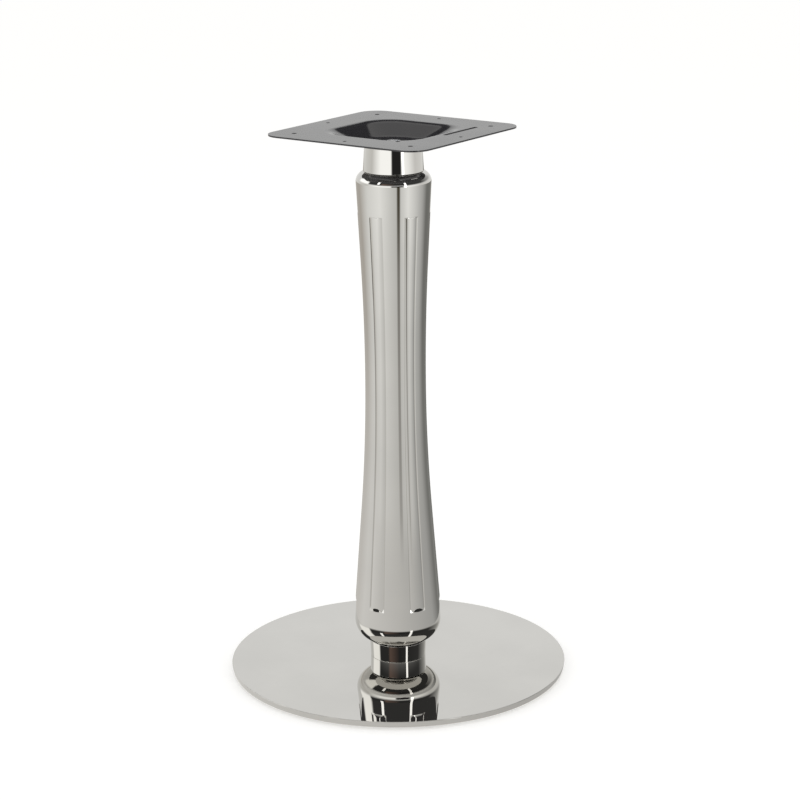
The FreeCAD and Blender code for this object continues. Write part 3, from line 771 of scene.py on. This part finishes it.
class PEDESTAL_OT_column(bpy.types.Operator):
    """Form the ribbed hourglass column"""
    bl_idname = "pedestal.column"
    bl_label = "Column"

    def execute(self, context):
        side = ColumnSide(context.scene.pedestal_column)
        column = draw_out("column_polished", column_rings(side))
        hand_over(column, "column", "polished_steel", COLUMN_SMOOTH_LIMIT)
        return {"FINISHED"}


# Top plate

CORNER_STEPS = 14
SIDE_STEPS = 6
# Steps over the dish's lip and under its slope, and the hold of the flat faces beside them
LIP_STEPS = 12
FOOT_STEPS = 10
BEND_HOLD = 0.8 * MM
# Rings in the dish's floor turn from a square to a circle: their corners as shares of half their sides
FLOOR_ROUNDNESS = 0.95
HOLE_ROUNDNESS = 0.999
# Flat round the rod's hole, in radii of that hole
HUB = 3.0
PLATE_EDGE = 0.2 * MM
FACE_WEIGHT = 60


def rounded_square(half, corner, height):
    """Points of a square about the axis with rounded corners."""
    points = []
    for quarter in range(4):
        turn = Matrix.Rotation(quarter * math.pi / 2, 3, "Z")
        flat = half - corner
        for x, y in arc((flat, flat), corner, 0.0, math.pi / 2, CORNER_STEPS):
            points.append(turn @ Vector((x, y, height)))
        for place in spaced(flat, -flat, SIDE_STEPS)[1:-1]:
            points.append(turn @ Vector((place, half, height)))
    return points


def plate_rings(sizes):
    """Rings of the plate's upper face, from its edge over the lip and the slope to the rod's hole."""
    top = highest("top_plate").z
    half = highest("top_plate").x
    floor = lowest("top_plate").z + sizes.sheet
    run = sizes.dish_half - sizes.floor_half
    slope = math.atan2(top - floor, run)
    lip_bend = sizes.bend + sizes.sheet
    lip = sizes.dish_half + lip_bend * math.tan(slope / 2)
    foot = sizes.floor_half - sizes.bend * math.tan(slope / 2)
    growth = (sizes.dish_corner - sizes.floor_corner) / run

    def dish_ring(place):
        corner = sizes.floor_corner + (place[0] - sizes.floor_half) * growth
        return rounded_square(place[0], corner, place[1])

    rings = [rounded_square(half, sizes.corner, top), dish_ring((lip + BEND_HOLD, top))]
    over = arc((lip, top - lip_bend), lip_bend, math.pi / 2, math.pi / 2 + slope, LIP_STEPS)
    under = arc((foot, floor + sizes.bend), sizes.bend, slope - math.pi / 2, -math.pi / 2, FOOT_STEPS)
    rings += [dish_ring(place) for place in over + under]
    inner = foot - BEND_HOLD
    rings.append(rounded_square(inner, inner * FLOOR_ROUNDNESS, floor))
    for radius in (HUB * sizes.rod_hole, sizes.rod_hole):
        rings.append(rounded_square(radius, radius * HOLE_ROUNDNESS, floor))
    return rings


def slot_cutter(place, low, high, long, width):
    """Round-ended cutter: a cylinder drawn apart along X."""
    cutter = hole_cutter(place[0], place[1], low, high, width / 2)
    for end in (-1, 1):
        offset = (end * (long - width) / 2, 0.0, 0.0)
        shift(cutter, offset, lambda corner: (corner.x - place[0]) * end > WELD)
    return cutter


class PEDESTAL_OT_top_plate(bpy.types.Operator):
    """Press the square top plate with its dish, screw holes and slot"""
    bl_idname = "pedestal.top_plate"
    bl_label = "Top Plate"

    def execute(self, context):
        sizes = context.scene.pedestal_plate
        plate = draw_out("top_plate_pressed", plate_rings(sizes))
        if plate.data.polygons[0].normal.z < 0:
            plate.data.flip_normals()
        apply_modifier(plate, "SOLIDIFY", thickness=sizes.sheet, offset=-1.0, use_even_offset=True)
        low, high = lowest("top_plate").z - sizes.sheet, highest("top_plate").z + sizes.sheet
        reach, side = sizes.screw_reach, sizes.side_reach
        holes = [(reach * x, reach * y, sizes.screw_hole) for x in (-1, 1) for y in (-1, 1)]
        holes += [(side * x, side * y, sizes.side_hole) for x, y in ((1, 0), (0, 1), (-1, 0), (0, -1))]
        holes.append((*sizes.lip_place, sizes.lip_hole))
        for x, y, radius in holes:
            cut_with(plate, hole_cutter(x, y, low, high, radius))
        cut_with(plate, slot_cutter(sizes.slot_place, low, high, sizes.slot_length, sizes.slot_width))
        soften_edges(plate, PLATE_EDGE)
        hand_over(plate, "top_plate", "coated_plate")
        apply_modifier(plate, "WEIGHTED_NORMAL", mode="FACE_AREA", weight=FACE_WEIGHT, keep_sharp=True)
        return {"FINISHED"}


# Clamping hardware


ROD_STEPS = 32
# Rings per turn of the thread, narrowness of its groove, and turns over which it runs out
THREAD_RINGS = 10
GROOVE_NARROWNESS = 2.6
RUN_OUT = 2
NUT_EDGE_LIMIT = 25.0


def rod_rings(sizes):
    """Rings of the tie rod: a plain shank and a threaded, chamfered upper end."""
    low, high = lowest("tie_rod").z, highest("tie_rod").z - sizes.sunk
    radius = highest("tie_rod").x
    chamfer, pitch = sizes.rod_chamfer, sizes.pitch
    start = high - sizes.threaded

    def threaded(height, around):
        wave = ((height - start) / pitch - around / math.tau) % 1.0
        groove = max(0.0, 1.0 - abs(wave - 0.5) * GROOVE_NARROWNESS)
        fade = min(1.0, (height - start) / (RUN_OUT * pitch))
        reach = radius - sizes.thread_depth * groove * fade
        return min(reach, radius - chamfer + (high - height))

    def ring(height, plain=None):
        points = []
        for around in spaced(0.0, math.tau, ROD_STEPS)[:-1]:
            reach = plain or threaded(height, around)
            points.append(Vector((reach * math.cos(around), reach * math.sin(around), height)))
        return points

    rings = [ring(low, radius - chamfer), ring(low + chamfer, radius), ring(start, radius)]
    count = round(sizes.threaded / pitch * THREAD_RINGS)
    return rings + [ring(height) for height in spaced(start, high, count)[1:]]


class PEDESTAL_OT_hardware(bpy.types.Operator):
    """Fit the tie rod, washer and nut that clamp the stack"""
    bl_idname = "pedestal.hardware"
    bl_label = "Clamping Hardware"

    def execute(self, context):
        sizes = context.scene.pedestal_hardware
        rod = draw_out("tie_rod_threaded", rod_rings(sizes))
        make_active(rod)
        edit_mode()
        bpy.ops.mesh.select_all(action="DESELECT")
        bpy.ops.mesh.select_non_manifold()
        bpy.ops.mesh.fill_holes(sides=0)
        close_skin()
        object_mode()
        hand_over(rod, "tie_rod", "zinc_steel")
        for node in ("top_washer", "top_nut"):
            piece = merged_copy(node, f"{node}_plated")
            if node == "top_nut":
                middle = (lowest(node).z + highest(node).z) / 2
                shift(piece, (0.0, 0.0, -sizes.sunk), lambda place: place.z > middle)
            soften_edges(piece, sizes.edge, NUT_EDGE_LIMIT)
            hand_over(piece, node, "zinc_steel")
        return {"FINISHED"}


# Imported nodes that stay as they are, with the slots of their finishes
CARRIED_OVER = {
    "coupling_nut": "zinc_steel",
    "base_screw": "zinc_steel",
    "glide_studs": "zinc_steel",
    "lower_bush": "black_plastic",
    "upper_bush": "black_plastic",
}


class PEDESTAL_OT_inner_parts(bpy.types.Operator):
    """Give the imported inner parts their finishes"""
    bl_idname = "pedestal.inner_parts"
    bl_label = "Inner Parts"

    def execute(self, context):
        for node, slot in CARRIED_OVER.items():
            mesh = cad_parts[node].data
            mesh.materials.clear()
            mesh.materials.append(finish_of(slot))
        return {"FINISHED"}


# Studio

# Rays to which floor and background are white: for these the floor glows a little, and the other
# rays get a share of the background's light
SEEN_BY = ("Is Camera Ray", "Is Glossy Ray", "Is Transmission Ray")
FLOOR_LIFT = 0.38
AMBIENT = 0.72
# Strength of the cards' light, just over the brightest of their tones
CARD_STRENGTH = 1.6
# Tones round the studio by the turn from the camera in degrees, the left negative, painted on glowing
# cards as the studio's painted reflection in the metal: a white panel on the left, black flags and a
# brown room in front, grey on the right, and pale paper with painted pools of light, painted shade and
# one narrow dark band
WHITE = (0.83, 0.83, 0.82)
PANEL = (1.5, 1.5, 1.48)
BLACK = (0.05, 0.05, 0.05)
WARM = (0.5, 0.47, 0.43)
WALL_TONES = [
    (-180, WHITE), (-130, WHITE), (-122, PANEL), (-86, PANEL), (-80, (0.04, 0.04, 0.04)),
    (-42, (0.04, 0.04, 0.04)), (-34, (0.16, 0.11, 0.09)), (5, (0.03, 0.03, 0.03)), (92, BLACK),
    (140, (0.5, 0.5, 0.49)), (155, WHITE), (180, WHITE),
]
PLAIN_WALL_TONES = [(-180, WHITE), (180, WHITE)]
HIGH_WALL_TONES = [
    (-180, BLACK), (-126, BLACK), (-118, PANEL), (-88, PANEL), (-81, BLACK), (180, BLACK),
]
LOW_WALL_TONES = [
    (-180, (0.9, 0.9, 0.88)), (-90, (0.7, 0.69, 0.66)), (-50, (1.3, 1.3, 1.28)),
    (-10, (1.3, 1.3, 1.28)), (-5, (0.02, 0.02, 0.02)), (27, (0.02, 0.02, 0.02)),
    (33, (1.3, 1.3, 1.28)), (60, (1.1, 1.1, 1.08)), (90, (0.75, 0.74, 0.72)),
    (180, (0.9, 0.9, 0.88)),
]
# Far paper as the metal sees it: painted pools of light 45 degrees to either side of the camera, painted
# shade to the right behind, and a narrow dark band from 11.5 to 17.5 degrees
FAR_PAPER_LIGHT_AND_SHADE = [
    (-180, WARM), (-130, WARM), (-90, (0.85, 0.85, 0.83)), (-45, (1.0, 1.0, 0.98)),
    (8, (0.65, 0.65, 0.63)), (11.5, (0.08, 0.07, 0.05)), (17.5, (0.08, 0.07, 0.05)),
    (21, (0.75, 0.75, 0.73)), (45, (1.0, 1.0, 0.98)), (100, (0.5, 0.5, 0.49)),
    (122, (0.2, 0.2, 0.19)), (145, (0.2, 0.2, 0.19)), (180, WARM),
]
# Near paper as the metal sees it: painted light falling off from left to right, and a painted shadow of
# the base to the right behind
NEAR_PAPER_LIGHT_AND_SHADE = [
    (-180, WARM), (-100, (0.8, 0.79, 0.77)), (0, (0.65, 0.64, 0.62)), (100, (0.45, 0.45, 0.44)),
    (130, (0.22, 0.22, 0.21)), (155, (0.22, 0.22, 0.21)), (180, WARM),
]
CEILING_TONES = [(-180, (0.8, 0.79, 0.76)), (180, (0.8, 0.79, 0.76))]
# Distance of the walls from the axis, and the heights at which their tones change
WALL_REACH = 4.6
WALL_HEIGHTS = (0.0, 0.85, 2.7, 5.0)
# The paper starts just outside the disc and lies just over the floor
PAPER_START = 0.228
PAPER_HEIGHT = 0.003
CEILING_PEAK = (0.05, 5.2)
CARD_STEPS = 180


def wall_section(level):
    """Section of the walls from one height to the next, as (distance from the axis, height)."""
    return [(WALL_REACH, height) for height in WALL_HEIGHTS[level:level + 2]]


# Cards: tones and section; some also have the tones that they give way to with growing distance from
# the origin, and the distances over which they do so
STUDIO_CARDS = {
    "studio_low_walls": (LOW_WALL_TONES, wall_section(0)),
    "studio_walls": (PLAIN_WALL_TONES, wall_section(1), WALL_TONES, (4.64, 4.9)),
    "studio_high_walls": (HIGH_WALL_TONES, wall_section(2)),
    "studio_ceiling": (CEILING_TONES, [(WALL_REACH, WALL_HEIGHTS[-1]), CEILING_PEAK]),
    # Glowing paper card: painted reflection of the lit floor, with painted pools of light and a painted
    # shadow of the base
    "studio_paper": (NEAR_PAPER_LIGHT_AND_SHADE, [(PAPER_START, PAPER_HEIGHT), (WALL_REACH, PAPER_HEIGHT)],
                     FAR_PAPER_LIGHT_AND_SHADE, (0.7, 2.3)),
}
# Soft boxes: turn from the camera, height of the middle, width and height
SOFT_BOXES = [(-48.0, 2.0, 0.34, 1.3), (36.0, 1.5, 0.34, 2.6)]
SOFT_BOX_REACH = 2.6
SOFT_BOX_RADIANCE = 1.8
# Light overhead: its height, the height that it is aimed at, its side and its brightness
OVERHEAD_HEIGHT = 3.2
OVERHEAD_AIM = 0.4
OVERHEAD_SIDE = 3.0
OVERHEAD_RADIANCE = 0.25
SENSOR_WIDTH = 36.0
CLIP_END = 100.0


def seen_share(shading):
    """1 for the rays that see floor and background as white, and 0 for the others."""
    path = shading.add("LightPath")
    share = path.outputs[SEEN_BY[0]]
    for name in SEEN_BY[1:]:
        largest = shading.add("Math", {0: share, 1: path.outputs[name]}, operation="MAXIMUM")
        share = largest.outputs[0]
    return share


def floor_finish(tone):
    """Pale floor that takes shadows; a little of its own light brings what is seen of it to white."""
    material = bpy.data.materials.new("studio_floor")
    shading = Shading(material)
    paper = shading.add("BsdfDiffuse", {"Color": (*tone, 1.0)})
    lift = shading.add("Math", {0: seen_share(shading), 1: FLOOR_LIFT}, operation="MULTIPLY")
    glow = shading.add("Emission", {"Strength": lift.outputs[0]})
    both = shading.add("AddShader", {0: paper.outputs[0], 1: glow.outputs[0]})
    shading.add("OutputMaterial", {"Surface": both.outputs[0]})
    return material


def plain_world(scene):
    """White for the camera and in the metal, and a soft even light on everything else."""
    scene.world = bpy.data.worlds.new("studio")
    shading = Shading(scene.world)
    level = shading.add("MapRange", {"Value": seen_share(shading), "To Min": AMBIENT, "To Max": 1.0})
    white = {"Color": (1.0, 1.0, 1.0, 1.0), "Strength": level.outputs[0]}
    background = shading.add("Background", white)
    shading.add("OutputWorld", {"Surface": background.outputs[0]})


def card_stops(tones):
    """Stops of a ramp once round the axis, as shares of the cards' strength."""
    return [(turned_by / 360.0 + 0.5, scaled(tone, 1 / CARD_STRENGTH)) for turned_by, tone in tones]


def card_finish(name, azimuth):
    """Light of a studio card by the turn about the axis, and by the distance where it changes."""
    tones, _, *change = STUDIO_CARDS[name]
    material = bpy.data.materials.new(name)
    shading = Shading(material)
    place = shading.add("TexCoord").outputs["Object"]
    turned = shading.add("Mapping", {"Vector": place, "Rotation": (0.0, 0.0, -azimuth)})
    parts = shading.add("SeparateXYZ", {0: turned.outputs["Vector"]})
    toward = shading.add("Math", {0: parts.outputs["Y"], 1: -1.0}, operation="MULTIPLY")
    around = shading.add("Math", {0: parts.outputs["X"], 1: toward.outputs[0]}, operation="ARCTAN2")
    once_round = {"Value": around.outputs[0], "From Min": -math.pi, "From Max": math.pi}
    share = shading.add("MapRange", once_round).outputs[0]
    light = shading.ramp(share, card_stops(tones))
    if change:
        far_tones, distances = change
        far = shading.ramp(share, card_stops(far_tones))
        reach = shading.add("VectorMath", {0: place}, operation="LENGTH").outputs["Value"]
        outward = {"Value": reach, "From Min": distances[0], "From Max": distances[1]}
        fade = shading.add("MapRange", outward, interpolation_type="SMOOTHSTEP")
        both = {"Factor": fade.outputs[0], "A": light, "B": far}
        light = shading.add("Mix", both, data_type="RGBA").outputs["Result"]
    glow = shading.add("Emission", {"Color": light, "Strength": CARD_STRENGTH})
    shading.add("OutputMaterial", {"Surface": glow.outputs[0]})
    return material


def studio_card(name, azimuth):
    """Glowing card that only the metal sees: a painted reflection of flags, reflectors, walls and floor
    out of the picture.
    """
    card = turn(name, STUDIO_CARDS[name][1], CARD_STEPS)
    card.data.materials.append(card_finish(name, azimuth))
    card.visible_camera = False
    card.visible_diffuse = False
    card.visible_shadow = False


def area_light(name, place, target, width, height, radiance):
    """Rectangular soft light with a given brightness, turned to a target."""
    look = (Vector(target) - Vector(place)).to_track_quat("-Z", "Y").to_euler()
    light = added(name, bpy.ops.object.light_add, type="AREA", location=place, rotation=look)
    light.data.shape = "RECTANGLE"
    light.data.size = width
    light.data.size_y = height
    light.data.energy = radiance * math.pi * width * height
    return light


class PEDESTAL_OT_studio(bpy.types.Operator):
    """Set up floor, light and camera"""
    bl_idname = "pedestal.studio"
    bl_label = "Studio"

    def execute(self, context):
        scene = context.scene
        settings = scene.pedestal_studio
        floor = added("studio_floor", bpy.ops.mesh.primitive_plane_add, size=settings.floor_size)
        floor.data.materials.append(floor_finish(tuple(settings.floor)))
        plain_world(scene)
        for name in STUDIO_CARDS:
            studio_card(name, settings.azimuth)

        sideways = Vector((math.cos(settings.azimuth), math.sin(settings.azimuth), 0.0))
        away = Vector((-math.sin(settings.azimuth), math.cos(settings.azimuth), 0.0))
        for number, (turned_by, height, width, tall) in enumerate(SOFT_BOXES):
            side = math.radians(turned_by)
            place = (sideways * math.sin(side) - away * math.cos(side)) * SOFT_BOX_REACH
            place.z = height
            target = (0.0, 0.0, height)
            area_light(f"soft_box_{number}", place, target, width, tall, SOFT_BOX_RADIANCE)
        place, target = (0.0, 0.0, OVERHEAD_HEIGHT), (0.0, 0.0, OVERHEAD_AIM)
        overhead = area_light("overhead_light", place, target, OVERHEAD_SIDE, OVERHEAD_SIDE,
                              OVERHEAD_RADIANCE)
        overhead.visible_glossy = False

        place = sideways * settings.offset - away * settings.distance
        place.z = settings.height
        look = (Matrix.Rotation(settings.azimuth, 3, "Z")
                @ Matrix.Rotation(math.pi / 2 - settings.pitch, 3, "X")
                @ Matrix.Rotation(settings.roll, 3, "Z"))
        bpy.ops.object.camera_add(location=place, rotation=look.to_euler())
        camera = context.active_object
        camera.data.sensor_width = SENSOR_WIDTH
        camera.data.lens = settings.lens
        camera.data.clip_end = CLIP_END
        scene.camera = camera
        scene.view_settings.view_transform = "Standard"
        return {"FINISHED"}


class PEDESTAL_PT_sidebar(bpy.types.Panel):
    """Lists the steps that dress the pedestal base"""
    bl_idname = "PEDESTAL_PT_sidebar"
    bl_label = "Pedestal Table Base"
    bl_space_type = "VIEW_3D"
    bl_region_type = "UI"
    bl_category = "Pedestal"

    def draw(self, context):
        for operator in OPERATORS:
            self.layout.operator(operator.bl_idname)
        for name in SETTINGS:
            group = getattr(context.scene, name)
            box = self.layout.box()
            for key in group.__annotations__:
                box.prop(group, key)


SETTINGS = {
    "pedestal_disc": DiscSizes,
    "pedestal_rings": RingSizes,
    "pedestal_column": ColumnSizes,
    "pedestal_plate": PlateSizes,
    "pedestal_hardware": HardwareSizes,
    "pedestal_colours": FinishColours,
    "pedestal_studio": StudioSettings,
}
OPERATORS = (
    PEDESTAL_OT_base_disc,
    PEDESTAL_OT_glides,
    PEDESTAL_OT_rings,
    PEDESTAL_OT_column,
    PEDESTAL_OT_top_plate,
    PEDESTAL_OT_hardware,
    PEDESTAL_OT_inner_parts,
    PEDESTAL_OT_studio,
)


def register():
    for group in SETTINGS.values():
        bpy.utils.register_class(group)
    for name, group in SETTINGS.items():
        setattr(bpy.types.Scene, name, PointerProperty(type=group))
    for operator in OPERATORS:
        bpy.utils.register_class(operator)
    bpy.utils.register_class(PEDESTAL_PT_sidebar)


def unregister():
    bpy.utils.unregister_class(PEDESTAL_PT_sidebar)
    for operator in reversed(OPERATORS):
        bpy.utils.unregister_class(operator)
    for name in SETTINGS:
        delattr(bpy.types.Scene, name)
    for group in reversed(SETTINGS.values()):
        bpy.utils.unregister_class(group)


def main():
    register()
    bpy.ops.pedestal.base_disc()
    bpy.ops.pedestal.glides()
    bpy.ops.pedestal.rings()
    bpy.ops.pedestal.column()
    bpy.ops.pedestal.top_plate()
    bpy.ops.pedestal.hardware()
    bpy.ops.pedestal.inner_parts()
    bpy.ops.pedestal.studio()


if __name__ == "__main__":
    main()
